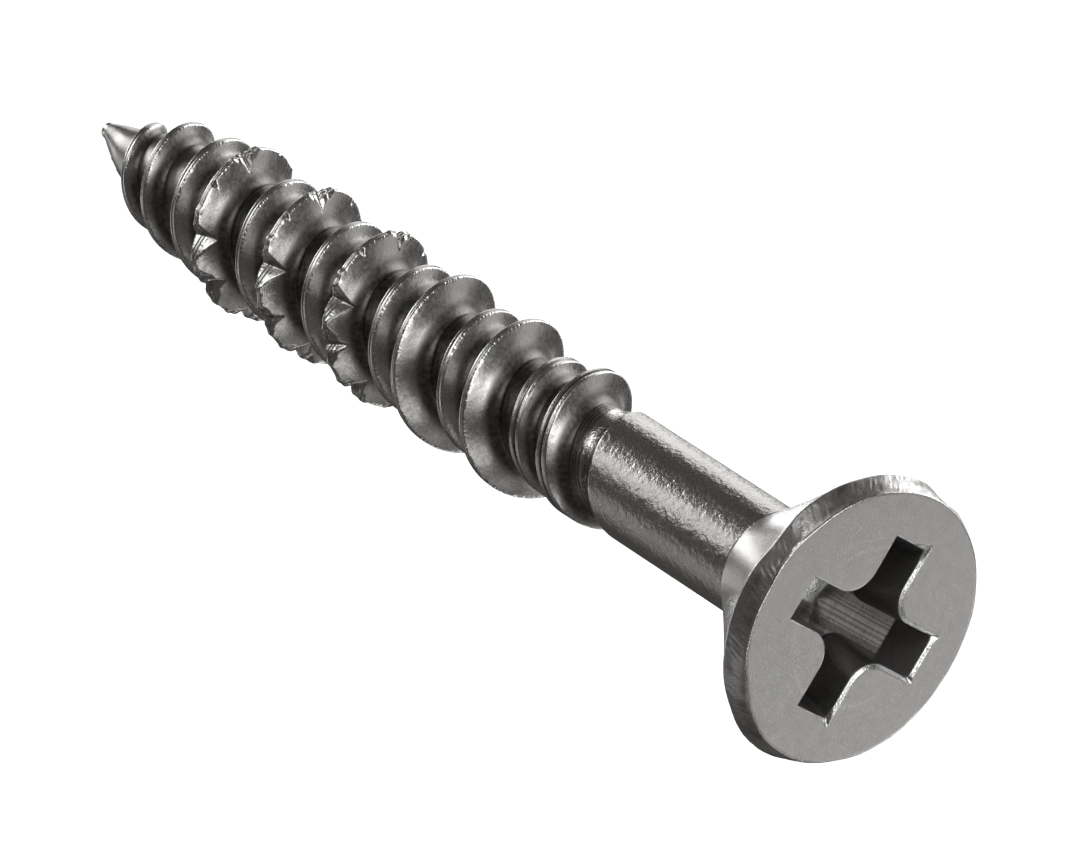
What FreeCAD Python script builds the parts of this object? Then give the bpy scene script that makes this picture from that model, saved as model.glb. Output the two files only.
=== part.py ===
import FreeCAD, Part
import math
import os
import Sketcher

# Countersunk wood screw with a twin-lead thread, in millimetres.
# The origin is the middle of the head's flat face. +Z points out of that face along
# the screw's axis, so the screw runs down -Z to its point. The arms of the cross
# recess lie on X and Y.

doc = FreeCAD.newDocument("wood_screw")

# ---------------------------------------------------------------- driving dimensions

DIMENSIONS = [
    # head
    ("face_radius", 4.47, "flat face of the head"),
    ("rim_radius", 4.75, "widest part of the head"),
    ("rim_edge_depth", 0.28, "where the bevel of the face meets the rim"),
    ("rim_depth", 0.70, "lower edge of the rim"),
    ("neck_depth", 4.50, "where the conical underside meets the shank"),
    # cross recess, size 2
    ("recess_span", 5.90, "tip to tip of the arms at the face"),
    ("recess_floor_span", 5.26, "tip to tip of the arms at the end walls' foot"),
    ("arm_width", 1.47, "arm at the face"),
    ("arm_floor_width", 1.04, "arm at the bottom"),
    ("corner_reach", 1.40, "middle to the bevelled corner between two arms, at the face"),
    ("corner_floor_reach", 0.85, "the same at the bottom"),
    ("recess_wall_depth", 1.35, "foot of the arms' end walls"),
    ("recess_depth", 2.15, "lowest point of the recess"),
    # shank, core and point
    ("shank_radius", 1.87, "plain shank"),
    ("shank_end_depth", 12.00, "end of the plain shank"),
    ("shank_chamfer", 0.27, "step from the shank down to the core"),
    ("core_radius", 1.60, "root of the thread"),
    ("point_depth", 33.00, "where the core starts to taper"),
    ("overall_length", 40.00, "face to point"),
    ("tip_radius", 0.12, "blunted end of the point"),
    # twin-lead thread, right-hand
    ("lead", 3.60, "advance of each ridge in one turn"),
    ("crossing_depth", 19.74, "where the tall crest crosses the XZ plane on +X"),
    ("flank_slope", 0.363, "widening of a ridge per mm of depth"),
    ("ridge_inner_radius", 0.50, "how deep a ridge is swept before the core is cut away"),
    ("sweep_turns", 9.0, "turns swept before the ends are trimmed"),
    ("sweep_angle", 20.0, "angle about Z where the sweep starts, clear of the XZ plane"),
    ("tall_radius", 2.62, "crest of the tall ridge"),
    ("tall_land", 0.26, "flat on the tall crest"),
    ("tall_start_depth", 11.60, "tall crest leaves the shank"),
    ("tall_full_depth", 15.10, "tall crest at full height"),
    ("low_radius", 2.25, "crest of the low ridge"),
    ("low_offset", 0.13, "how far the low ridge lies above midway between tall turns"),
    ("low_land", 0.20, "flat on the low crest"),
    ("low_start_depth", 12.90, "low crest leaves the shank"),
    ("low_full_depth", 18.00, "low crest at full height"),
    ("nose_depth", 33.20, "where the tall crest starts to shrink towards the point"),
    ("nose_mid_depth", 36.60, "second station of the shrinking crest"),
    ("nose_mid_radius", 1.80, "crest radius there"),
    ("nose_end_depth", 39.40, "end of the thread"),
    ("nose_end_radius", 0.36, "crest radius there"),
    # saw notches in the tall ridge, towards the point
    ("notch_top_depth", 23.05, "crest depth of the first notch"),
    ("notch_spacing", 38.8, "angle from one notch to the next, in degrees"),
    ("notch_count", 26.0, "notches along the ridge"),
    ("notch_depth", 0.34, "how deep a notch cuts below the middle of the crest"),
    ("notch_tilt", 35.0, "lean of the notch's floor towards the head, in degrees"),
    ("notch_bar", 0.90, "side of the square cutter"),
    ("notch_bar_length", 2.40, "length of the cutter across the ridge"),
]

dims = doc.addObject("Spreadsheet::Sheet", "dims")
for row, (alias, value, note) in enumerate(DIMENSIONS, start=1):
    dims.set("A%d" % row, alias)
    dims.set("B%d" % row, repr(value))
    dims.set("C%d" % row, note)
    dims.setAlias("B%d" % row, alias)
doc.recompute()


def size(alias):
    """The sheet's value for one driving dimension."""
    return float(dims.get(alias))


def on_sheet(words):
    """An expression in which every alias is read from the sheet."""
    for alias, _, _ in sorted(DIMENSIONS, key=lambda entry: -len(entry[0])):
        words = words.replace("<%s>" % alias, "dims.%s" % alias)
    return words


def number(words):
    """The present value of such an expression."""
    for alias, _, _ in DIMENSIONS:
        words = words.replace("<%s>" % alias, "(%r)" % size(alias))
    total = FreeCAD.Units.Quantity(words)
    return float(total)


# ---------------------------------------------------------------- building blocks

def origin_plane(body, role):
    for feature in body.Origin.OriginFeatures:
        if feature.Role == role:
            return feature
    raise ValueError(role)


def draw_profile(sketch, corners, arcs=None):
    """A closed outline through corners, each a pair of expressions (radius, height).

    arcs maps the number of a side to the height of that side's centre. Every corner
    is held by its two distances from the origin.
    """
    arcs = arcs or {}
    points = [FreeCAD.Vector(number(x), number(z), 0) for x, z in corners]
    sides = len(points)
    ends = []
    for side in range(sides):
        start = points[side]
        end = points[(side + 1) % sides]
        line = Part.LineSegment(start, end)
        if side in arcs:
            # the centre is as far from one end as from the other
            level = number(arcs[side])
            middle = (start + end) * 0.5
            chord = end - start
            centre = FreeCAD.Vector(middle.x - (level - middle.y) * chord.y / chord.x, level, 0)
            circle = Part.Circle(centre, FreeCAD.Vector(0, 0, 1), (start - centre).Length)
            bearings = [math.atan2(tip.y - level, tip.x - centre.x) for tip in (start, end)]
            line = Part.ArcOfCircle(circle, min(bearings), max(bearings))
        sketch.addGeometry(line, False)
        # an arc may run either way, so the end that lies at the corner is looked up
        forward = sketch.Geometry[side].StartPoint.distanceToPoint(start) < 1e-6
        ends.append((1, 2) if forward else (2, 1))
    for side in range(sides):
        before = (side - 1) % sides
        here = ends[side][0]
        there = ends[before][1]
        sketch.addConstraint(Sketcher.Constraint("Coincident", before, there, side, here))
        place(sketch, side, here, "DistanceX", corners[side][0])
        place(sketch, side, here, "DistanceY", corners[side][1])
    for side, words in arcs.items():
        place(sketch, side, 3, "DistanceY", words)


def place(sketch, side, point, kind, words):
    """Hold one point of the outline at its distance from the origin."""
    if words == "0":
        axis = -2 if kind == "DistanceX" else -1
        sketch.addConstraint(Sketcher.Constraint("PointOnObject", side, point, axis))
        return
    rule = Sketcher.Constraint(kind, -1, 1, side, point, number(words))
    index = sketch.addConstraint(rule)
    sketch.setExpression("Constraints[%d]" % index, on_sheet(words))


def profile_body(name, corners, arcs=None):
    """A body with one outline sketched on its XZ plane."""
    body = doc.addObject("PartDesign::Body", name)
    body.Label = name
    sketch = body.newObject("Sketcher::SketchObject", name + "_outline")
    sketch.AttachmentSupport = (origin_plane(body, "XZ_Plane"), [""])
    sketch.MapMode = "FlatFace"
    draw_profile(sketch, corners, arcs)
    doc.recompute()
    return body, sketch


def turned(name, corners, arcs=None):
    """A body made by turning an outline about Z."""
    body, sketch = profile_body(name, corners, arcs)
    feature = body.newObject("PartDesign::Revolution", name + "_turned")
    feature.Profile = (sketch, [""])
    feature.ReferenceAxis = (sketch, ["V_Axis"])
    feature.Angle = 360
    doc.recompute()
    return body


def ridge(name, crest, land, start):
    """A trapezoid swept along a right-hand helix. start is its lowest height."""
    half = "(<%s> / 2)" % land
    foot = "(<%s> / 2 + <flank_slope> * (<%s> - <ridge_inner_radius>))" % (land, crest)
    # the crest stands a little proud, so that the envelope's cut always makes it
    reach = "<%s> + 0.1" % crest
    corners = [
        ("<ridge_inner_radius>", "%s - %s" % (start, foot)),
        (reach, "%s - %s" % (start, half)),
        (reach, "%s + %s" % (start, half)),
        ("<ridge_inner_radius>", "%s + %s" % (start, foot)),
    ]
    body, sketch = profile_body(name, corners)
    feature = body.newObject("PartDesign::AdditiveHelix", name + "_swept")
    feature.Profile = (sketch, [""])
    feature.ReferenceAxis = (sketch, ["V_Axis"])
    feature.Mode = 0
    feature.setExpression("Pitch", "dims.lead")
    feature.setExpression("Height", "dims.lead * dims.sweep_turns")
    feature.LeftHanded = False
    feature.Reversed = False
    body.Placement = FreeCAD.Placement(
        FreeCAD.Vector(0, 0, size("lead") * size("sweep_angle") / 360),
        FreeCAD.Rotation(FreeCAD.Vector(0, 0, 1), size("sweep_angle")),
    )
    doc.recompute()
    return body


def combined(kind, name, base, tool):
    result = doc.addObject(kind, name)
    result.Base = base
    result.Tool = tool
    return result


def fused(name, shapes):
    result = doc.addObject("Part::MultiFuse", name)
    result.Shapes = shapes
    return result


def tapered_bar(name, half_length, half_width, floor_half_length, floor_half_width, turn):
    """A bar of the recess: a frustum that narrows from the face down to the floor."""
    bar = doc.addObject("Part::Wedge", name)
    bar.setExpression("Ymin", "-dims.recess_depth - 0.2")
    bar.Ymax = 0
    for key, words in (
        ("X2max", half_length), ("Z2max", half_width),
        ("Xmax", floor_half_length), ("Zmax", floor_half_width),
    ):
        bar.setExpression(key, on_sheet(words))
        bar.setExpression(key.replace("max", "min"), "-(%s)" % on_sheet(words))
    upright = FreeCAD.Rotation(FreeCAD.Vector(1, 0, 0), 90)
    about_z = FreeCAD.Rotation(FreeCAD.Vector(0, 0, 1), turn)
    bar.Placement = FreeCAD.Placement(FreeCAD.Vector(0, 0, 0), about_z.multiply(upright))
    return bar


# ---------------------------------------------------------------- head

head_blank = turned("head_blank", [
    ("0", "0"),
    ("<face_radius>", "0"),
    ("<rim_radius>", "-<rim_edge_depth>"),
    ("<rim_radius>", "-<rim_depth>"),
    ("<shank_radius>", "-<neck_depth>"),
    ("0", "-<neck_depth>"),
])

LONG = "<recess_span> / 2 + 0.2"
arms = [
    tapered_bar("arm_bar_%d" % turn, LONG, "<arm_width> / 2", LONG,
                "<arm_floor_width> / 2", turn)
    for turn in (0, 90)
]
corners = tapered_bar("corner_bar", "<corner_reach>", "<corner_reach>",
                      "<corner_floor_reach>", "<corner_floor_reach>", 45)
cross = fused("cross", arms + [corners])

arm_limit = turned("arm_limit", [
    ("0", "0"),
    ("<recess_span> / 2", "0"),
    ("<recess_floor_span> / 2", "-<recess_wall_depth>"),
    ("0", "-<recess_depth>"),
])
recess = combined("Part::Common", "recess", cross, arm_limit)
countersunk_head = combined("Part::Cut", "countersunk_head", head_blank, recess)

# ---------------------------------------------------------------- shank, core, point

plain_shank = turned("plain_shank", [
    ("0", "-<neck_depth>"),
    ("<shank_radius>", "-<neck_depth>"),
    ("<shank_radius>", "-<shank_end_depth> + <shank_chamfer>"),
    ("<core_radius>", "-<shank_end_depth>"),
    ("0", "-<shank_end_depth>"),
])

threaded_core = turned("threaded_core", [
    ("0", "-<shank_end_depth>"),
    ("<core_radius>", "-<shank_end_depth>"),
    ("<core_radius>", "-<point_depth>"),
    ("0", "-<point_depth>"),
])

# The point is an ogive. Its arc leaves the core without a corner, so the arc's centre
# is level with the start of the taper.
screw_point = turned(
    "screw_point",
    [
        ("0", "-<point_depth>"),
        ("<core_radius>", "-<point_depth>"),
        ("<tip_radius>", "-<overall_length>"),
        ("0", "-<overall_length>"),
    ],
    arcs={1: "-<point_depth>"},
)
doc.recompute()

# ---------------------------------------------------------------- thread

# everything that the ridges stand on, as one outline
stem = turned(
    "stem",
    [
        ("0", "-<neck_depth>"),
        ("<shank_radius>", "-<neck_depth>"),
        ("<shank_radius>", "-<shank_end_depth> + <shank_chamfer>"),
        ("<core_radius>", "-<shank_end_depth>"),
        ("<core_radius>", "-<point_depth>"),
        ("<tip_radius>", "-<overall_length>"),
        ("0", "-<overall_length>"),
    ],
    arcs={4: "-<point_depth>"},
)


def crest_envelope(name, crest, start_depth, full_depth, steps):
    """What both ends of a ridge are trimmed to: its crest grows out of the shank and
    shrinks again along the point."""
    return turned(name, [
        ("0", "-<%s>" % start_depth),
        ("<shank_radius>", "-<%s>" % start_depth),
        ("<%s>" % crest, "-<%s>" % full_depth),
    ] + steps + [
        ("<nose_mid_radius>", "-<nose_mid_depth>"),
        ("<nose_end_radius>", "-<nose_end_depth>"),
        ("0", "-<nose_end_depth>"),
    ])


# the low crest meets the shrinking envelope further down than the tall one
NOSE_SLOPE = "((<tall_radius> - <nose_mid_radius>) / (<nose_mid_depth> - <nose_depth>))"
LOW_NOSE_DEPTH = "-<nose_depth> - (<tall_radius> - <low_radius>) / %s" % NOSE_SLOPE

tall_envelope = crest_envelope(
    "tall_envelope", "tall_radius", "tall_start_depth", "tall_full_depth",
    [("<tall_radius>", "-<nose_depth>")])
low_envelope = crest_envelope(
    "low_envelope", "low_radius", "low_start_depth", "low_full_depth",
    [("<low_radius>", LOW_NOSE_DEPTH)])

# Each ridge is swept from one crossing of the XZ plane below the point. The low ridge
# runs half a turn, and so half a lead, from the tall one.
turns_below = math.ceil((size("overall_length") - size("crossing_depth")) / size("lead"))
TALL_START = "(-<crossing_depth> - %d * <lead>)" % turns_below
LOW_START = "(-<crossing_depth> - %.1f * <lead> + <low_offset>)" % (turns_below - 0.5)
tall_ridge = ridge("tall_ridge", "tall_radius", "tall_land", TALL_START)
low_ridge = ridge("low_ridge", "low_radius", "low_land", LOW_START)

low_trimmed = combined("Part::Common", "low_trimmed", low_ridge, low_envelope)
low_thread = combined("Part::Cut", "low_thread", low_trimmed, stem)

# The notches are V cuts by a square bar that stands on its edge and lies across the
# ridge, leaning inwards at the side nearer the head. They follow the tall crest at
# even angles.
bars = []
for step in range(int(size("notch_count"))):
    height = -size("notch_top_depth") - step * size("lead") * size("notch_spacing") / 360
    angle = 360 * (height + size("crossing_depth")) / size("lead")
    lean = FreeCAD.Rotation(FreeCAD.Vector(0, 1, 0), -size("notch_tilt"))
    about_z = FreeCAD.Rotation(FreeCAD.Vector(0, 0, 1), angle)
    on_edge = FreeCAD.Rotation(FreeCAD.Vector(0, 0, 1), -45)
    turn = about_z.multiply(lean).multiply(on_edge)
    half_way = turn.multVec(FreeCAD.Vector(0, 0, size("notch_bar_length") / 2))
    out = size("tall_radius") - size("notch_depth")
    floor = about_z.multVec(FreeCAD.Vector(out, 0, 0)) + FreeCAD.Vector(0, 0, height)
    bar = doc.addObject("Part::Box", "notch_bar_%d" % step)
    bar.setExpression("Length", "dims.notch_bar")
    bar.setExpression("Width", "dims.notch_bar")
    bar.setExpression("Height", "dims.notch_bar_length")
    bar.Placement = FreeCAD.Placement(floor - half_way, turn)
    bars.append(bar)
tall_notched = combined("Part::Cut", "tall_notched", tall_ridge, fused("notch_bars", bars))
tall_trimmed = combined("Part::Common", "tall_trimmed", tall_notched, tall_envelope)
tall_thread = combined("Part::Cut", "tall_thread", tall_trimmed, stem)
doc.recompute()

# ---------------------------------------------------------------- checks and export

PIECES = [
    countersunk_head,
    plain_shank,
    threaded_core,
    screw_point,
    tall_thread,
    low_thread,
]

for item in doc.Objects:
    if "Invalid" in item.State or "Error" in item.State:
        raise RuntimeError("%s is %s" % (item.Name, item.State))

os.makedirs("parts", exist_ok=True)
for piece in PIECES:
    piece.Label = piece.Name
    shape = piece.Shape
    if shape.isNull() or not shape.isValid():
        raise RuntimeError("%s has no valid shape" % piece.Label)
    box = shape.optimalBoundingBox()
    print("%-17s solids %d volume %.3f  x %.2f..%.2f  y %.2f..%.2f  z %.2f..%.2f" % (
        piece.Label, len(shape.Solids), shape.Volume,
        box.XMin, box.XMax, box.YMin, box.YMax, box.ZMin, box.ZMax))
for piece in PIECES:
    piece.Shape.exportStep("parts/%s.step" % piece.Label)
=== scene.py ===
import math

import bpy
import numpy as np
from mathutils import Matrix, Vector


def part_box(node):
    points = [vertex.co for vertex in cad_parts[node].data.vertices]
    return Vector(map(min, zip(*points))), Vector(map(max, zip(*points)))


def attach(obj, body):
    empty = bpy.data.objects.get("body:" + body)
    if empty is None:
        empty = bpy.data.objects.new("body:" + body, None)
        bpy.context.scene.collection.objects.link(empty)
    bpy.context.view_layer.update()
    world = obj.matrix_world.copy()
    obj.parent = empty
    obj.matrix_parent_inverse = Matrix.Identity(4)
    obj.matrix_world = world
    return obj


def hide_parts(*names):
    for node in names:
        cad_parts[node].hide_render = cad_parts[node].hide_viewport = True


# Countersunk wood screw. The origin is the middle of the head's flat face, +Z points
# out of that face and the screw runs down -Z to its point. Lengths are in millimetres
# up to the moment a mesh or a light is made. Angles about Z are in degrees.

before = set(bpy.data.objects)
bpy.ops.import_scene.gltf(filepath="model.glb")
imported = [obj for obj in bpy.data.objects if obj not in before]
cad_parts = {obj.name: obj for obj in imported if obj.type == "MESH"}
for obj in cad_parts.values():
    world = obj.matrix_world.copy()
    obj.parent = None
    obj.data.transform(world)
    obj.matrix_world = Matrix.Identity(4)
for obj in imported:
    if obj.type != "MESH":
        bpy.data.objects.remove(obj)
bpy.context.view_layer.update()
rng = np.random.default_rng(51)
MM = 0.001

# ------------------------------------------------------------ sizes from the frame


def reach(node, axis, side):
    """One side of a node's box, in millimetres."""
    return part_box(node)[side][axis] / MM


HEAD_RADIUS = reach("countersunk_head", 0, 1)
NECK_Z = reach("countersunk_head", 2, 0)
SHANK_RADIUS = reach("plain_shank", 0, 1)
SHANK_END_Z = reach("plain_shank", 2, 0)
CORE_RADIUS = reach("threaded_core", 0, 1)
POINT_Z = reach("threaded_core", 2, 0)
TIP_Z = reach("screw_point", 2, 0)
TALL_RADIUS = reach("tall_thread", 0, 1)
LOW_RADIUS = reach("low_thread", 0, 1)

# edge of the flat face, and the height at which the head is widest
FACE_RADIUS = 4.42
RIM_Z = -0.66

# The cross recess narrows downward. Its walls end at RECESS_WALL_DEPTH, and from there
# its floor falls to RECESS_DEPTH in the middle. ARM_CORNER is the radius between two arms.
RECESS_SPAN = 5.90
RECESS_DRAFT = 13.25
ARM_WIDTH = 1.47
ARM_FLOOR_WIDTH = 1.07
ARM_CORNER = 0.95
ARM_CORNER_NARROWS = 0.30
RECESS_WALL_DEPTH = 1.35
RECESS_DEPTH = 2.15

# LEAD is the height of one full turn. The crossings are the heights of the two ridges
# at angle 0.
LEAD = 3.60
TALL_CROSSING_Z = -19.74
LOW_CROSSING_Z = TALL_CROSSING_Z - LEAD / 2 + 0.13


# ------------------------------------------------------------ small tools

def smooth(low, high, value):
    """0 at low, 1 at high, and an S between them. high may be below low."""
    part = np.clip((value - low) / (high - low), 0.0, 1.0)
    return part * part * (3 - 2 * part)


def ripple(count, strength, roughness=1.0):
    """A seeded periodic curve of an angle: a sum of waves with random phases."""
    waves = np.arange(1, count + 1)
    phases = rng.uniform(0, 2 * math.pi, count)
    heights = rng.normal(0, 1, count) / waves ** roughness
    heights *= strength / math.sqrt(float(np.sum(heights ** 2)) / 2)

    def curve(angle):
        total = np.zeros_like(np.asarray(angle, dtype=float))
        for wave, phase, height in zip(waves, phases, heights):
            total += height * np.sin(wave * angle + phase)
        return total
    return curve


def value_noise(cells_u, cells_v):
    """A seeded smooth field over the unit square, -1 to 1. It repeats along u."""
    knots = rng.uniform(-1, 1, (cells_u, cells_v + 1))

    def field(u, v):
        u = np.asarray(u) * cells_u
        v = np.clip(np.asarray(v), 0, 1 - 1e-9) * cells_v
        iu = np.floor(u).astype(int)
        iv = np.floor(v).astype(int)
        fu = u - iu
        fv = v - iv
        fu = fu * fu * (3 - 2 * fu)
        fv = fv * fv * (3 - 2 * fv)
        a = knots[iu % cells_u, iv]
        b = knots[(iu + 1) % cells_u, iv]
        c = knots[iu % cells_u, iv + 1]
        d = knots[(iu + 1) % cells_u, iv + 1]
        return (a * (1 - fu) + b * fu) * (1 - fv) + (c * (1 - fu) + d * fu) * fv
    return field


def grid_faces(rows, columns, wrap):
    """Quads of a grid of points, row by row. wrap joins the last column to the first."""
    faces = []
    across = columns if wrap else columns - 1
    for row in range(rows - 1):
        for column in range(across):
            after = (column + 1) % columns
            a = row * columns + column
            b = row * columns + after
            faces.append((a, b, b + columns, a + columns))
    return faces


def make_piece(name, points, faces, material, replaces, dark, worn_and_sheen=0.0):
    """A smooth-shaded mesh piece that stands for one CAD node. Points are in mm. dark is the
    painted shade and soot on each point's steel, and the last value the wear and painted
    sheen on it, both from 0 to 1."""
    mesh = bpy.data.meshes.new(name)
    mesh.from_pydata((np.asarray(points) * MM).tolist(), [], faces)
    for title, amount in (("dark", dark), ("worn_and_sheen", worn_and_sheen)):
        layer = mesh.attributes.new(title, "FLOAT", "POINT")
        values = np.zeros(len(points))
        values[:np.size(amount)] = np.ravel(amount)
        layer.data.foreach_set("value", values)
    mesh.polygons.foreach_set("use_smooth", [True] * len(mesh.polygons))
    piece = bpy.data.objects.new(name, mesh)
    bpy.context.collection.objects.link(piece)
    mesh.materials.append(material)
    mesh.update()
    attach(piece, "root")
    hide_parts(replaces)


def lathe(radius, height, angles):
    """Points of a surface given as radius and height over (row, angle)."""
    x = radius * np.cos(angles)
    y = radius * np.sin(angles)
    return np.stack([x, y, height], axis=-1).reshape(-1, 3)


def closed_lathe(radius, height, angles):
    """The same, closed by a middle point at its first and last row."""
    rows, columns = radius.shape
    points = list(lathe(radius, height, angles))
    faces = grid_faces(rows, columns, True)
    top = len(points)
    points.append((0.0, 0.0, float(height[0].mean())))
    points.append((0.0, 0.0, float(height[-1].mean())))
    last = (rows - 1) * columns
    for column in range(columns):
        after = (column + 1) % columns
        faces.append((top, after, column))
        faces.append((top + 1, last + column, last + after))
    return points, faces


# ------------------------------------------------------------ materials

CLEAN_FACE = (0.62, 0.61, 0.60)
CLEAN_STEEL = (0.62, 0.61, 0.595)
# the dark colour below paints shade, with some soot, into hollows; the bright one paints
# sheen and glints onto worn places
SHADE_AND_SOOT = (0.040, 0.035, 0.032)
BURNISH_AND_SHEEN = (0.86, 0.855, 0.85)
SHADE_AND_SOOT_ROUGHEN = 0.14
WEAR_AND_SHEEN_SMOOTH = 0.10
WEAR_AND_SHEEN_BRIGHTEN = 0.8
SCRATCH_STRETCH = (1.0, 0.06, 0.6)
GLINT_SIZE = 9.0


def steel(name, base, mottle, roughness, grain, pits, scratch, sparkle):
    """Bare steel, from noise in the object's own space. It takes painted shade, with some
    soot, where the mesh's dark value is high, and wear with a painted sheen and a fine
    sparkle where the worn value is high.

    mottle is how far the clean colour strays from base, as a fraction. roughness is the
    lowest and the highest value of clean steel. grain, pits and scratch are (size per
    mm, bump strength) pairs, and sparkle is the bump strength where the wear and sheen value
    is high.
    """
    material = bpy.data.materials.new(name)
    material.use_nodes = True
    nodes = material.node_tree.nodes
    links = material.node_tree.links
    shader = nodes["Principled BSDF"]
    shader.inputs["Metallic"].default_value = 1.0
    place = nodes.new("ShaderNodeTexCoord")

    def noise(scale, detail, stretch=None):
        texture = nodes.new("ShaderNodeTexNoise")
        texture.inputs["Scale"].default_value = scale / MM
        texture.inputs["Detail"].default_value = detail
        texture.inputs["Roughness"].default_value = 0.6
        if stretch:
            mapping = nodes.new("ShaderNodeMapping")
            mapping.inputs["Scale"].default_value = stretch
            links.new(place.outputs["Object"], mapping.inputs["Vector"])
            links.new(mapping.outputs["Vector"], texture.inputs["Vector"])
        else:
            links.new(place.outputs["Object"], texture.inputs["Vector"])
        return texture.outputs["Fac"]

    def painted(title):
        layer = nodes.new("ShaderNodeAttribute")
        layer.attribute_name = title
        return layer.outputs["Fac"]

    def ramp(source, low, high, from_low, from_high):
        node = nodes.new("ShaderNodeMapRange")
        node.inputs["From Min"].default_value = low
        node.inputs["From Max"].default_value = high
        node.inputs["To Min"].default_value = from_low
        node.inputs["To Max"].default_value = from_high
        links.new(source, node.inputs["Value"])
        return node.outputs["Result"]

    def maths(operation, first, second):
        node = nodes.new("ShaderNodeMath")
        node.operation = operation
        node.use_clamp = True
        for socket, value in zip(node.inputs, (first, second)):
            if isinstance(value, (int, float)):
                socket.default_value = value
            else:
                links.new(value, socket)
        return node.outputs["Value"]

    def blend(factor, first, second):
        node = nodes.new("ShaderNodeMix")
        node.data_type = "RGBA"
        links.new(factor, node.inputs["Factor"])
        for title, colour in (("A", first), ("B", second)):
            if isinstance(colour, tuple):
                node.inputs[title].default_value = (*colour, 1)
            else:
                links.new(colour, node.inputs[title])
        return node.outputs["Result"]

    grain_size, grain_bump = grain
    pit_size, pit_bump = pits
    scratch_size, scratch_bump = scratch
    fine = noise(grain_size, 4.0)
    cloud = noise(grain_size * 0.15, 4.0)
    dark = painted("dark")
    worn_and_sheen = painted("worn_and_sheen")

    clean = blend(ramp(cloud, 0.3, 0.7, 0.0, 1.0),
                  tuple(channel * (1 - mottle) for channel in base),
                  tuple(min(1, channel * (1 + mottle)) for channel in base))
    # painted shade with some soot where dark is high, then wear and painted sheen where the
    # worn value is high
    shade_and_soot_amount = maths("MULTIPLY", dark, ramp(fine, 0.25, 0.7, 1.0, 0.72))
    shaded_and_sooty = blend(shade_and_soot_amount, clean, SHADE_AND_SOOT)
    colour = blend(maths("MULTIPLY", worn_and_sheen, WEAR_AND_SHEEN_BRIGHTEN), shaded_and_sooty, BURNISH_AND_SHEEN)
    links.new(colour, shader.inputs["Base Color"])

    low, high = roughness
    finish = ramp(fine, 0.30, 0.72, low, high)
    finish = maths("ADD", finish, maths("MULTIPLY", dark, SHADE_AND_SOOT_ROUGHEN))
    finish = maths("SUBTRACT", finish, maths("MULTIPLY", worn_and_sheen, WEAR_AND_SHEEN_SMOOTH))
    links.new(finish, shader.inputs["Roughness"])

    # what drives each bump, its strength, and its depth in mm
    bumps = [
        (fine, grain_bump, 0.02),
        (noise(pit_size, 2.0), pit_bump, 0.05),
        (noise(scratch_size, 2.0, SCRATCH_STRETCH), scratch_bump, 0.02),
        (maths("MULTIPLY", noise(GLINT_SIZE, 1.0), worn_and_sheen), sparkle, 0.03),
    ]
    normal = None
    for source, strength, distance in bumps:
        if strength <= 0:
            continue
        bump = nodes.new("ShaderNodeBump")
        bump.inputs["Strength"].default_value = strength
        bump.inputs["Distance"].default_value = distance * MM
        links.new(source, bump.inputs["Height"])
        if normal:
            links.new(normal, bump.inputs["Normal"])
        normal = bump.outputs["Normal"]
    links.new(normal, shader.inputs["Normal"])
    return material


face_steel = steel("face_steel", CLEAN_FACE, mottle=0.06, roughness=(0.24, 0.46),
                   grain=(18.0, 0.40), pits=(5.0, 0.06), scratch=(8.0, 0.20), sparkle=0.3)
shank_steel = steel("shank_steel", CLEAN_STEEL, mottle=0.08, roughness=(0.19, 0.33),
                    grain=(11.0, 0.16), pits=(4.2, 0.55), scratch=(5.0, 0.0), sparkle=0.5)
thread_steel = steel("thread_steel", CLEAN_STEEL, mottle=0.08, roughness=(0.21, 0.33),
                     grain=(7.0, 0.10), pits=(2.4, 0.16), scratch=(8.0, 0.05),
                     sparkle=0.45)


# ------------------------------------------------------------ crest and root radii

def tall_envelope(z):
    """Largest radius of the tall crest at height z. The crest fades at both ends."""
    stations = [(-40.0, 0.05), (-38.2, 0.30), (-37.6, 0.75), (-37.2, 1.35), (-36.8, 1.92),
                (-35.2, 2.06), (-33.9, 2.14), (-33.1, 2.45), (-32.0, TALL_RADIUS),
                (-15.6, TALL_RADIUS), (-14.3, 2.46), (-13.0, 2.20), (-12.2, 1.95),
                (-11.6, 1.72), (-11.0, 1.45)]
    heights, radii = zip(*stations)
    return np.interp(z, heights, radii)


def low_envelope(z):
    """The same for the low crest."""
    stations = [(-40.0, 0.05), (-39.0, 0.20), (-38.6, 0.66), (-38.2, 1.04), (-36.6, 1.62),
                (-35.3, 2.02), (-34.2, LOW_RADIUS), (-19.0, LOW_RADIUS),
                (-16.1, 2.11), (-13.6, 1.90), (-12.8, 1.55)]
    heights, radii = zip(*stations)
    return np.interp(z, heights, radii)


def core_radius(z):
    """Root radius: a cylinder, then an ogive down to the point."""
    length = POINT_Z - TIP_Z
    narrowing = CORE_RADIUS - 0.12
    curve = (narrowing ** 2 + length ** 2) / (2 * narrowing)
    fall = np.clip(POINT_Z - z, 0, length)
    return CORE_RADIUS - (curve - np.sqrt(curve ** 2 - fall ** 2))


# ------------------------------------------------------------ head

# Heading left the face's edge off centre and the rim dented. Each dent is where it is
# round the head, how far it reaches, in degrees, and how deep it is in mm.
FACE_DENTS = [(92, 42, 0.13), (315, 14, 0.06), (276, 12, 0.05), (30, 20, 0.03)]
RIM_DENTS = [(168, 11, 0.17), (196, 7, 0.05), (258, 9, 0.12), (15, 12, 0.05), (330, 9, 0.04)]


def dented(angle, dents):
    """Total depth of the dents at an angle in radians."""
    total = np.zeros_like(angle)
    for middle, spread, depth in dents:
        away = (np.degrees(angle) - middle + 180) % 360 - 180
        total += depth * np.exp(-(away / spread) ** 2)
    return total


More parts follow.
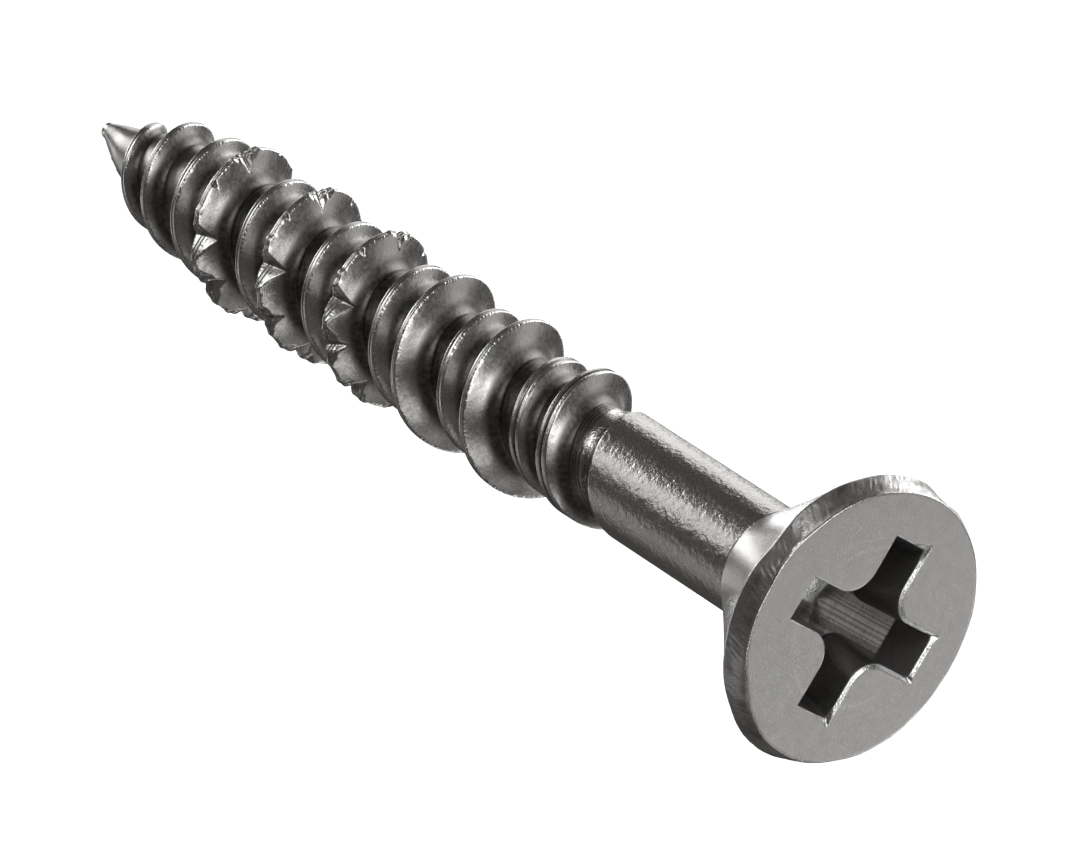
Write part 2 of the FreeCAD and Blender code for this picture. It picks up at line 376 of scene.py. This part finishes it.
def recess_at(angles, depth, wider=0.0):
    """Radius of the recess's wall for each angle, where depth may differ by angle.
    wider moves the wall outward, square to itself."""
    half = ARM_WIDTH / 2 + (ARM_FLOOR_WIDTH - ARM_WIDTH) / 2 * depth / RECESS_DEPTH + wider
    corner = ARM_CORNER * (1 - ARM_CORNER_NARROWS * depth / RECESS_DEPTH) - wider
    centre = half + corner
    span = RECESS_SPAN / 2 - depth * math.tan(math.radians(RECESS_DRAFT)) + wider
    turn = np.abs((angles + math.pi / 4) % (math.pi / 2) - math.pi / 4)
    beside = half / np.maximum(np.sin(turn), 1e-6)
    along = centre * (np.cos(turn) + np.sin(turn))
    discriminant = corner ** 2 - (2 * centre ** 2 - along ** 2)
    arc = along - np.sqrt(np.maximum(discriminant, 0))
    touches = (discriminant > 0) & (arc * np.cos(turn) < centre)
    radius = np.where(touches, arc, beside)
    return np.minimum(radius, span / np.cos(turn))


# Lip of the recess: narrow on the -Y side, wider on the +Y side, and wider again at the
# corners of the arms, LIP_CORNER_TURN degrees off the middle of an arm.
LIP_WIDTH = 0.025
LIP_FAR_EXTRA = 0.110
LIP_CORNER_EXTRA = 0.7
LIP_CORNER_TURN = 14.0
LIP_CORNER_SPREAD = 1.6
LIP_SLOPE = 0.50

# The near, -Y end of the recess floor is lower. The drop starts at LEVEL_START from the
# middle and grows over LEVEL_LENGTH.
LEVEL_START = 0.10
LEVEL_LENGTH = 0.9
LEVEL_SLOPE = 0.17

# rings rubbed on the face: radius, spread and strength
FACE_RINGS = [(2.62, 0.07, 1.0), (2.95, 0.05, 0.5)]

BEVEL_WIDTH = 0.060
BEVEL_DROP = 0.075
RIM_ROUND_IN = 0.07
RIM_ROUND_DOWN = 0.11
CONE_HOLLOW = 0.05


def build_head():
    columns = 1080
    angles = np.linspace(0, 2 * math.pi, columns, endpoint=False)
    rows_r = []
    rows_z = []
    rows_dark = []
    rows_worn_and_sheen = []

    def add(radius, height, dark=0.0, worn_and_sheen=0.0):
        for rows, value in ((rows_r, radius), (rows_z, height),
                            (rows_dark, dark), (rows_worn_and_sheen, worn_and_sheen)):
            rows.append(np.broadcast_to(value, (columns,)).astype(float).copy())

    # floor of the recess: it slopes down to the middle from the four arms
    foot = recess_at(angles, np.full(columns, RECESS_WALL_DEPTH))
    floor_slope = (RECESS_DEPTH - RECESS_WALL_DEPTH) / foot.max()
    streaks = value_noise(110, 2)
    squareness = (np.abs(np.cos(angles)) ** 3 + np.abs(np.sin(angles)) ** 3) ** (1 / 3)
    for part in np.linspace(0.03, 1.0, 30):
        radius = foot * part
        drawn = streaks(0.5 + radius * np.cos(angles) / 6, np.full(columns, 0.5)) \
            + streaks(0.5 + radius * np.sin(angles) / 6, np.full(columns, 0.2)) * 0.4
        # the near end of the floor is nearly level and carries a painted highlight; the rest
        # of the floor is painted in shade, streaked with drawing lines
        near = -radius * np.sin(angles)
        floor_highlight = smooth(0.14, 0.22, near) * smooth(0.24, 0.14, radius * np.cos(angles))
        landing = LEVEL_SLOPE * np.clip(near - LEVEL_START, 0, LEVEL_LENGTH)
        add(radius, -RECESS_DEPTH + radius * squareness * floor_slope - landing,
            np.clip(0.92 + 0.22 * drawn, 0, 1) * (1 - floor_highlight), floor_highlight)
    floor_edge = rows_z[-1].copy()
    # walls, from the floor's edge up to the lip, painted in shade that lightens upward, then
    # the lip itself, worn and painted with a highlight
    turn_in_arm = np.abs((np.degrees(angles) + 45) % 90 - 45)
    far_side = smooth(0.0, 0.45, recess_at(angles, np.zeros(columns)) * np.sin(angles))
    at_corner = np.exp(-((turn_in_arm - LIP_CORNER_TURN) / LIP_CORNER_SPREAD) ** 2)
    lip = (LIP_WIDTH + LIP_FAR_EXTRA * far_side) * (1 + LIP_CORNER_EXTRA * at_corner)
    for part in np.linspace(0, 1, 34)[1:]:
        height = floor_edge * (1 - part) - lip * LIP_SLOPE * part
        add(recess_at(angles, -height), height, 0.74 - 0.15 * part)
    flat = np.zeros(columns)
    for part in np.linspace(0, 1, 7)[1:]:
        add(recess_at(angles, flat, lip * part), -lip * LIP_SLOPE * (1 - part) ** 1.15,
            0.0, 1 - part ** 4)
    inner = recess_at(angles, flat, lip)
    face_edge = FACE_RADIUS - dented(angles, FACE_DENTS) + ripple(24, 0.010, 0.5)(angles)
    # faint rings where a driver or a die has rubbed the face
    ring_patch = np.clip(0.4 + 0.6 * ripple(7, 0.8)(angles), 0, 1)
    for part in np.linspace(0, 1, 64)[1:-1]:
        radius = inner + (face_edge - inner) * part
        ring = sum(strength * np.exp(-((radius - middle) / spread) ** 2)
                   for middle, spread, strength in FACE_RINGS)
        add(radius, 0.0, 0.0, 0.40 * ring * ring_patch)
    # narrow bevel, the side that leans outward to the rim, the rounding under it, and
    # the slightly hollow cone down to the neck
    rim_edge = HEAD_RADIUS - dented(angles, RIM_DENTS) + ripple(18, 0.010, 0.4)(angles)
    bevel = BEVEL_WIDTH + 0.02 * ripple(16, 1.0, 0.3)(angles)
    for turn in np.linspace(0, 1, 6)[1:]:
        add(face_edge + bevel * math.sin(turn * 1.15),
            -BEVEL_DROP * (1 - math.cos(turn * 1.25)), 0.0, 0.75)
    top_r = rows_r[-1].copy()
    top_z = rows_z[-1].copy()
    for part in np.linspace(0, 1, 26)[1:]:
        lean = part ** 0.85
        add(top_r + (rim_edge - top_r) * lean, top_z + (RIM_Z - top_z) * part,
            0.18 * smooth(0.0, 0.2, part) * smooth(1.06, 0.8, part))
    for turn in np.linspace(0, 1, 7)[1:]:
        add(rim_edge - RIM_ROUND_IN * (1 - math.cos(turn * math.pi / 2)) - 0.02 * turn,
            RIM_Z - RIM_ROUND_DOWN * math.sin(turn * math.pi / 2), 0.10 * (1 - turn), 0.3)
    low_r = rows_r[-1].copy()
    low_z = rows_z[-1].copy()
    for part in np.linspace(0, 1, 60)[1:]:
        hollow = CONE_HOLLOW * math.sin(part * math.pi)
        add(low_r + (SHANK_RADIUS - low_r) * part - hollow,
            low_z + (NECK_Z - low_z) * part, 0.0, 0.35)
    radius = np.array(rows_r)
    height = np.array(rows_z)
    dark = np.array(rows_dark)
    worn_and_sheen = np.array(rows_worn_and_sheen)
    grid = np.broadcast_to(angles, radius.shape)

    # forging marks: the rim's side is scratched across and lumpy
    side = smooth(-0.95, -0.60, height) * smooth(-0.03, -0.10, height) \
        * (radius > FACE_RADIUS - 0.2)
    marks = value_noise(300, 5)
    lumps = value_noise(44, 4)
    down = np.clip(-height, 0, 1)
    turn = grid / (2 * math.pi)
    slanted = turn + 0.022 * down
    scratched = marks(slanted, down)
    radius = radius - side * (0.014 + 0.007 * scratched + 0.018 * lumps(turn, down))
    dark = np.clip(dark + side * (0.28 * scratched + 0.60 * lumps(slanted, down)), 0, 1)
    radius = np.minimum(radius, HEAD_RADIUS)
    points, faces = closed_lathe(radius, height, grid)
    make_piece("head", points, faces, face_steel, "countersunk_head",
               dark, worn_and_sheen)


build_head()


# ------------------------------------------------------------ plain shank

# The shank's slanted end starts to climb at EDGE_TURN.
EDGE_TURN = 176.0
EDGE_LOW_Z = -12.40
EDGE_CLIMB = LEAD / 2
# rounded edge, then a hollow cone down to the core: how far below the edge, how far in
HOLLOW_PROFILE = [(0.03, 0.01), (0.07, 0.035), (0.15, 0.08), (0.27, 0.125),
                  (0.42, 0.175), (0.58, 0.22), (0.74, 0.25), (0.90, 0.262)]
ROOT_END_Z = -13.8


def run_in_edge(angle):
    """Height of the shank's slanted end: it climbs with the thread for half a turn and
    falls back over the other half."""
    turned = (np.degrees(angle) - EDGE_TURN) % 360.0
    climb = np.minimum(turned / 180.0, 1.0) - smooth(180.0, 360.0, turned)
    return EDGE_LOW_Z + EDGE_CLIMB * climb


def build_shank():
    columns = 288
    angles = np.linspace(0, 2 * math.pi, columns, endpoint=False)
    edge = run_in_edge(angles)
    rows_r = []
    rows_z = []
    for part in np.linspace(0, 1, 150):
        rows_z.append(NECK_Z + (edge - NECK_Z) * part)
        rows_r.append(np.full(columns, SHANK_RADIUS))
    for drop, inward in HOLLOW_PROFILE:
        rows_z.append(edge - drop)
        rows_r.append(np.full(columns, SHANK_RADIUS - inward))
    foot = edge - HOLLOW_PROFILE[-1][0]
    for part in np.linspace(0, 1, 60)[1:]:
        rows_z.append(foot + (ROOT_END_Z - foot) * part)
        rows_r.append(np.full(columns, CORE_RADIUS - 0.004 * part))
    radius = np.array(rows_r)
    height = np.array(rows_z)
    grid = np.broadcast_to(angles, radius.shape)
    # the hollow is painted bright as a highlight; the root before the first thread is lined
    # and painted in shade
    below = edge - height
    worn_and_sheen = 0.80 * smooth(0.02, 0.12, below) * smooth(0.95, 0.60, below)
    dark = 0.80 * smooth(0.70, 1.05, below)
    radius = radius + 0.010 * smooth(0.7, 1.0, below) * np.sin(below * 46)
    points, faces = closed_lathe(radius, height, grid)
    make_piece("shank", points, faces, shank_steel, "plain_shank",
               dark, worn_and_sheen)


build_shank()


# ------------------------------------------------------------ core and point

# rolling lines along the root: lines per lead, depth and phase
ROOT_LINES = [(14, 0.010, 0.0), (23, 0.006, 1.3)]
# below POINT_FINE_Z the rows are closer together; the bulb sits at BULB_Z
POINT_FINE_Z = -39.0
BULB_Z = -39.78
BULB_SIZE = 0.045
POINT_LEAN = 0.16


def build_core():
    columns = 240
    angles = np.linspace(0, 2 * math.pi, columns, endpoint=False)
    heights = np.arange(SHANK_END_Z - 0.5, POINT_Z - 1e-6, -0.07)
    heights = np.append(heights, POINT_Z)
    height, grid = np.meshgrid(heights, angles, indexing="ij")
    # fine rolling lines run along the root, parallel to the thread
    across = height - LEAD * grid / (2 * math.pi)
    lines = sum(depth * np.sin(across / LEAD * 2 * math.pi * count + phase)
                for count, depth, phase in ROOT_LINES)
    radius = CORE_RADIUS - 0.012 + lines
    points, faces = closed_lathe(radius, height, grid)
    # the root between the ridges is painted in shade, with less of it next to the shank
    make_piece("core", points, faces, thread_steel, "threaded_core",
               0.96 - 0.5 * smooth(-13.3, -12.2, height))


def build_point():
    columns = 240
    angles = np.linspace(0, 2 * math.pi, columns, endpoint=False)
    heights = np.concatenate([np.linspace(POINT_Z, POINT_FINE_Z, 96)[:-1],
                              np.linspace(POINT_FINE_Z, TIP_Z, 40)])
    height, grid = np.meshgrid(heights, angles, indexing="ij")
    # the point was pinched off: it ends in a small bulb and leans to one side
    pinch = ripple(5, 0.020, 0.5)
    bulb = BULB_SIZE * np.exp(-((height - BULB_Z) / 0.11) ** 2)
    blunt = np.sqrt(np.clip((height - TIP_Z) / 0.14, 0.0, 1.0))
    radius = (core_radius(height) + bulb) * np.maximum(blunt, 0.02)
    radius = radius + pinch(grid) * smooth(-38.4, -39.2, height) * np.minimum(radius, 0.5)
    lean = POINT_LEAN * smooth(0, 1, (-37.8 - heights) / 2.0)
    points, faces = closed_lathe(radius, height, grid)
    points = np.array(points)
    shift = np.concatenate([np.repeat(lean, columns), [lean[0], lean[-1]]])
    points[:, 0] -= shift
    # painted shade, deeper towards the threads above the point
    make_piece("point", points, faces, thread_steel, "screw_point",
               0.22 + 0.4 * smooth(-38.4, -37.6, height))


build_core()
build_point()


# ------------------------------------------------------------ thread ridges

NOTCH_TURN = 38.8
NOTCH_FIRST = -331.0
NOTCH_COUNT = 26
# the roll that cut the notches was worn: some came out wide and some hardly at all
WIDE_NOTCHES = (3, 12, 21)
FAINT_NOTCHES = (4, 6, 13, 15, 22, 24)
WIDE_DEPTH = 0.45
WIDE_WALL = 0.75
FAINT_DEPTH = 0.05
# a radius that no ridge reaches
UNCUT = 99.0


def notch_field(angle, across):
    """The notches over unwrapped angle, in degrees, and the distance across the ridge,
    in mm, positive towards the head: the radius that each leaves, and the burr beside it."""
    left = np.full(angle.shape, UNCUT)
    burr = np.zeros(angle.shape)
    for index in range(NOTCH_COUNT):
        middle = NOTCH_FIRST - index * NOTCH_TURN + rng.uniform(-2, 2)
        depth = rng.uniform(0.27, 0.36)
        wall = rng.uniform(0.72, 0.88)
        if index in WIDE_NOTCHES:
            depth = WIDE_DEPTH
            wall = WIDE_WALL
        if index in FAINT_NOTCHES:
            depth = FAINT_DEPTH
        slant = rng.uniform(0.95, 1.15)
        upper = 1.9 if index in WIDE_NOTCHES else 0.9
        away = np.radians(angle - middle) * (TALL_RADIUS - 0.3)
        off = np.abs(away)
        # most walls are bent: steep at the valley and leaning back towards the crest.
        # Those of the wide notches are straight.
        bend = 0.0 if index in WIDE_NOTCHES else 0.12
        rise = wall * (off + bend * np.sin(np.clip(off / 0.35, 0, 1) * math.pi))
        valley = TALL_RADIUS - depth - slant * across + np.where(away > 0, 1.1, upper) * rise
        left = np.minimum(left, valley)
        burr = burr + 0.16 * depth * np.exp(-((off - depth / wall - 0.08) / 0.10) ** 2)
    return left, burr


def soft_max(first, second, blend):
    """The larger of two radii, with a hollow fillet of that size where they meet."""
    part = np.clip(0.5 + 0.5 * (first - second) / blend, 0, 1)
    return second * (1 - part) + first * part + blend * part * (1 - part)


RIDGE_ROWS_PER_TURN = 420
# The seam is deeper towards the head: from SEAM_NORMAL_Z to SEAM_DEEP_Z it grows by
# SEAM_DEEPENS times its own depth.
SEAM_DEEPENS = 2.5
SEAM_NORMAL_Z = -16.0
SEAM_DEEP_Z = -14.6


def build_ridge(name, node, crossing, crest, envelope, land, slope, root, seam,
                top_z, end_z, notched):
    """A closed strip along the helix. Each cross-section runs from the foot at the
    point's side, over the crest, to the foot at the head's side, and back inside.

    land is the crest's width, slope how far a flank spreads for each mm of height, root
    the size of the fillet at its foot, and seam the depth of the seam on the crest.
    """
    first = (top_z - crossing) / LEAD * 360
    last = (end_z - crossing) / LEAD * 360
    turn = np.linspace(first, last, int((first - last) / 360 * RIDGE_ROWS_PER_TURN))
    half = land / 2
    full = crest - CORE_RADIUS
    foot = half + slope * full
    outer = foot + root * slope + 0.04
    # distances across the ridge, closer together at the seam and the crest's corners
    side = np.concatenate([
        np.linspace(outer, foot - 0.02, 8),
        np.linspace(foot - 0.06, half + 0.07, 13),
        np.linspace(half + 0.045, half - 0.06, 7),
        np.array([half * 0.42, half * 0.2]),
    ])
    across = np.concatenate([-side, [0.0], side[::-1]])
    angle, v = np.meshgrid(turn, across, indexing="ij")
    off = np.abs(v)
    theta = np.radians(angle)
    along = crossing + LEAD * angle / 360
    z = np.maximum(along + v, TIP_Z + 0.05)
    limit = envelope(along)
    core = core_radius(z)

    # the crest was squeezed up between the rolling dies: two lips with a seam between
    uneven = value_noise(2400, 2)
    coarse = value_noise(97, 2)
    far = (turn - turn.min()) / (turn.max() - turn.min())
    lip_a = (0.002 * uneven(far, 0.1) + 0.016 * coarse(far, 0.2))[:, None]
    lip_b = (0.002 * uneven(far, 0.8) + 0.016 * coarse(far, 0.7))[:, None]
    tapered = np.where(along < -25, np.minimum(limit, crest), crest)
    beyond = np.maximum(off - half, 0)
    ridge = tapered - beyond / slope - 0.015 * np.clip(off / half, 0, 1) ** 4
    ridge = np.minimum(ridge, limit)
    on_crest = np.clip(1 - (np.minimum(tapered, limit) - ridge) / 0.10, 0, 1)
    standing = np.clip((ridge - core) / 0.3, 0, 1)
    run_in = 1 + SEAM_DEEPENS * smooth(SEAM_NORMAL_Z, SEAM_DEEP_Z, along)
    crease = seam * run_in * np.exp(-(v / (0.22 * half + 0.02)) ** 2)
    ridge = ridge + standing * (np.where(v < 0, lip_a, lip_b) * on_crest - crease)
    if notched:
        left, burr = notch_field(angle, v)
        ridge = np.minimum(ridge + burr * on_crest * standing, left)
    # the foot sinks a little into the core
    base = core - 0.03 - 0.05 * smooth(outer - 0.08, outer, off)
    radius = soft_max(ridge, base, root)
    radius = np.where(off > outer - 1e-6, base, radius)
    radius = np.minimum(radius, crest + 0.05)

    # painted shade, with some soot, lies in the roots and the seam, and the corners of the
    # crest are worn and carry painted glints in dots
    height = (radius - core) / full
    seam_shade = 0.35 * run_in * np.exp(-(v / (0.3 * half + 0.02)) ** 2) * on_crest
    dark = np.clip(0.95 * (1 - smooth(0.20, 0.46, height)) + seam_shade, 0, 1)
    dots = np.where(v < 0, uneven(far, 0.3)[:, None] - 0.35, uneven(far, 0.6)[:, None])
    corner = np.exp(-((off - half) / 0.028) ** 2)
    worn_and_sheen = np.clip(corner * np.clip(0.35 + 1.6 * dots, 0, 1), 0, 1) * np.clip(height, 0, 1)

    # the strip closes inside the core, at three places across it
    rows = len(turn)
    skin = np.stack([radius * np.cos(theta), radius * np.sin(theta), z], axis=-1)
    inner = np.maximum(core * 0.82, 0.02)
    back = []
    for place_v in (outer * 0.8, 0.0, -outer * 0.8):
        column = int(np.argmin(np.abs(across - place_v)))
        r = inner[:, column]
        back.append(np.stack([
            r * np.cos(theta[:, column]),
            r * np.sin(theta[:, column]),
            z[:, column],
        ], axis=-1))
    ring = np.concatenate([skin, np.stack(back, axis=1)], axis=1)
    around = ring.shape[1]
    points = list(ring.reshape(-1, 3))
    faces = [tuple(reversed(face)) for face in grid_faces(rows, around, True)]
    start = len(points)
    points.append(ring[0].mean(axis=0))
    points.append(ring[-1].mean(axis=0))
    end = (rows - 1) * around
    for column in range(around):
        after = (column + 1) % around
        faces.append((start, column, after))
        faces.append((start + 1, end + after, end + column))
    hidden = np.zeros((rows, len(back)))
    make_piece(name, points, faces, thread_steel, node,
               np.concatenate([dark, hidden], axis=1),
               np.concatenate([worn_and_sheen, hidden], axis=1))


build_ridge("tall_ridge", "tall_thread", TALL_CROSSING_Z, TALL_RADIUS, tall_envelope,
            land=0.20, slope=0.363, root=0.70, seam=0.012, top_z=-10.8, end_z=-38.0,
            notched=True)
build_ridge("low_ridge", "low_thread", LOW_CROSSING_Z, LOW_RADIUS, low_envelope,
            land=0.24, slope=0.45, root=0.50, seam=0.018, top_z=-12.9, end_z=-38.9,
            notched=False)


# ------------------------------------------------------------ camera

# CAMERA_RADIUS is measured from the Z axis and CAMERA_HEIGHT from the head's face. The
# roll is in radians.
IMAGE_WIDTH = 1080
SENSOR = 36.0
FOCAL_PIXELS = 10000.0
CAMERA_TURN = -94.0
CAMERA_RADIUS = 222.23
CAMERA_HEIGHT = 200.59
CAMERA_ROLL = 2.1501
AIM = Vector((0.212, -0.015, -15.897))


def make_camera():
    """Makes the camera, and returns its right, up and backward directions."""
    turn = math.radians(CAMERA_TURN)
    spot = Vector((CAMERA_RADIUS * math.cos(turn), CAMERA_RADIUS * math.sin(turn),
                   CAMERA_HEIGHT))
    forward = (AIM - spot).normalized()
    right = forward.cross(Vector((0, 0, 1))).normalized()
    up = right.cross(forward)
    rolled_right = math.cos(CAMERA_ROLL) * right + math.sin(CAMERA_ROLL) * up
    rolled_up = -math.sin(CAMERA_ROLL) * right + math.cos(CAMERA_ROLL) * up
    matrix = Matrix((rolled_right, rolled_up, -forward)).transposed().to_4x4()
    matrix.translation = spot * MM
    data = bpy.data.cameras.new("camera")
    data.sensor_width = SENSOR
    data.lens = FOCAL_PIXELS / IMAGE_WIDTH * SENSOR
    data.clip_start = 0.001
    data.clip_end = 10
    camera = bpy.data.objects.new("camera", data)
    camera.matrix_world = matrix
    bpy.context.collection.objects.link(camera)
    bpy.context.scene.camera = camera
    return rolled_right, rolled_up, -forward


view_right, view_up, view_back = make_camera()

# ------------------------------------------------------------ floor and light

# in metres
FLOOR_HALF = 1.5
FLOOR_GAP = 0.0002


def make_floor():
    """A white table. The steel doesn't mirror it: the soft boxes stand for the room."""
    level = TIP_Z * MM - FLOOR_GAP
    corners = [(x * FLOOR_HALF, y * FLOOR_HALF, level)
               for x, y in ((-1, -1), (1, -1), (1, 1), (-1, 1))]
    mesh = bpy.data.meshes.new("floor")
    mesh.from_pydata(corners, [], [(0, 1, 2, 3)])
    floor = bpy.data.objects.new("floor", mesh)
    floor.visible_glossy = False
    floor.visible_shadow = False
    material = bpy.data.materials.new("pale_floor")
    material.use_nodes = True
    shader = material.node_tree.nodes["Principled BSDF"]
    shader.inputs["Base Color"].default_value = (0.90, 0.90, 0.90, 1)
    shader.inputs["Roughness"].default_value = 0.9
    shader.inputs["Emission Color"].default_value = (1.0, 1.0, 1.0, 1)
    shader.inputs["Emission Strength"].default_value = 0.88
    mesh.materials.append(material)
    bpy.context.collection.objects.link(floor)


LIGHT_DISTANCE = 600.0
SCREW_MIDDLE = Vector((0, 0, -18.0))
ROOM_COLOUR = (0.065, 0.062, 0.059, 1)
PAPER_COLOUR = (1.0, 1.0, 1.0, 1)


def soft_box(name, turn, lean, wide, tall, brightness):
    """A soft box seen from the middle of the screw. turn goes round the picture from its
    right side, anticlockwise; lean is the angle away from the camera; wide and tall are
    how much of the room the box fills. All in degrees."""
    turn, lean, wide, tall = (math.radians(value) for value in (turn, lean, wide, tall))
    across = view_right * math.cos(turn) + view_up * math.sin(turn)
    toward = across * math.sin(lean) + view_back * math.cos(lean)
    rise = across * math.cos(lean) - view_back * math.sin(lean)
    side = rise.cross(toward)
    width = 2 * LIGHT_DISTANCE * math.tan(wide / 2) * MM
    height = 2 * LIGHT_DISTANCE * math.tan(tall / 2) * MM
    data = bpy.data.lights.new(name, "AREA")
    data.shape = "RECTANGLE"
    data.size = width
    data.size_y = height
    data.energy = brightness * 4 * width * height
    light = bpy.data.objects.new(name, data)
    matrix = Matrix((side, rise, toward)).transposed().to_4x4()
    matrix.translation = (SCREW_MIDDLE + toward * LIGHT_DISTANCE) * MM
    light.matrix_world = matrix
    light.visible_camera = False
    bpy.context.collection.objects.link(light)


make_floor()
soft_box("key_light", 32, 120, 34, 32, 2.8)
soft_box("top_light", 72, 130, 26, 26, 0.9)
soft_box("back_light", 140, 117, 22, 28, 1.9)
soft_box("far_left_light", 180, 132, 22, 22, 0.9)
soft_box("fill_light", 203, 112, 36, 26, 0.16)
soft_box("rim_light", 224, 80, 36, 24, 0.22)
soft_box("cone_light", 140, 158, 14, 14, 4.4)
soft_box("top_edge_light", 90, 155, 22, 24, 0.9)
soft_box("right_edge_light", 0, 155, 22, 24, 0.8)
soft_box("left_light", 148, 86, 26, 18, 0.75)
soft_box("right_light", 0, 104, 26, 22, 0.35)
soft_box("face_light", 326, 92, 26, 18, 0.16)
soft_box("under_light", 282, 108, 24, 22, 0.8)
soft_box("recess_light", 324, 108, 16, 12, 2.4)
soft_box("notch_light", 90, 33, 26, 14, 2.8)
soft_box("hollow_light", 136, 108, 16, 14, 2.8)
soft_box("lower_light", 300, 76, 22, 14, 0.3)
soft_box("front_light", 352, 46, 54, 18, 2.4)
soft_box("low_light", 303, 52, 16, 14, 0.8)

# the steel sees a dark room, the camera sees white paper
world = bpy.data.worlds.new("world")
world.use_nodes = True
nodes = world.node_tree.nodes
links = world.node_tree.links
room = nodes["Background"]
room.inputs["Color"].default_value = ROOM_COLOUR
paper = nodes.new("ShaderNodeBackground")
paper.inputs["Color"].default_value = PAPER_COLOUR
seen = nodes.new("ShaderNodeLightPath")
either = nodes.new("ShaderNodeMixShader")
links.new(seen.outputs["Is Camera Ray"], either.inputs["Fac"])
links.new(room.outputs["Background"], either.inputs[1])
links.new(paper.outputs["Background"], either.inputs[2])
links.new(either.outputs["Shader"], nodes["World Output"].inputs["Surface"])
bpy.context.scene.world = world
bpy.context.scene.view_settings.view_transform = "Standard"
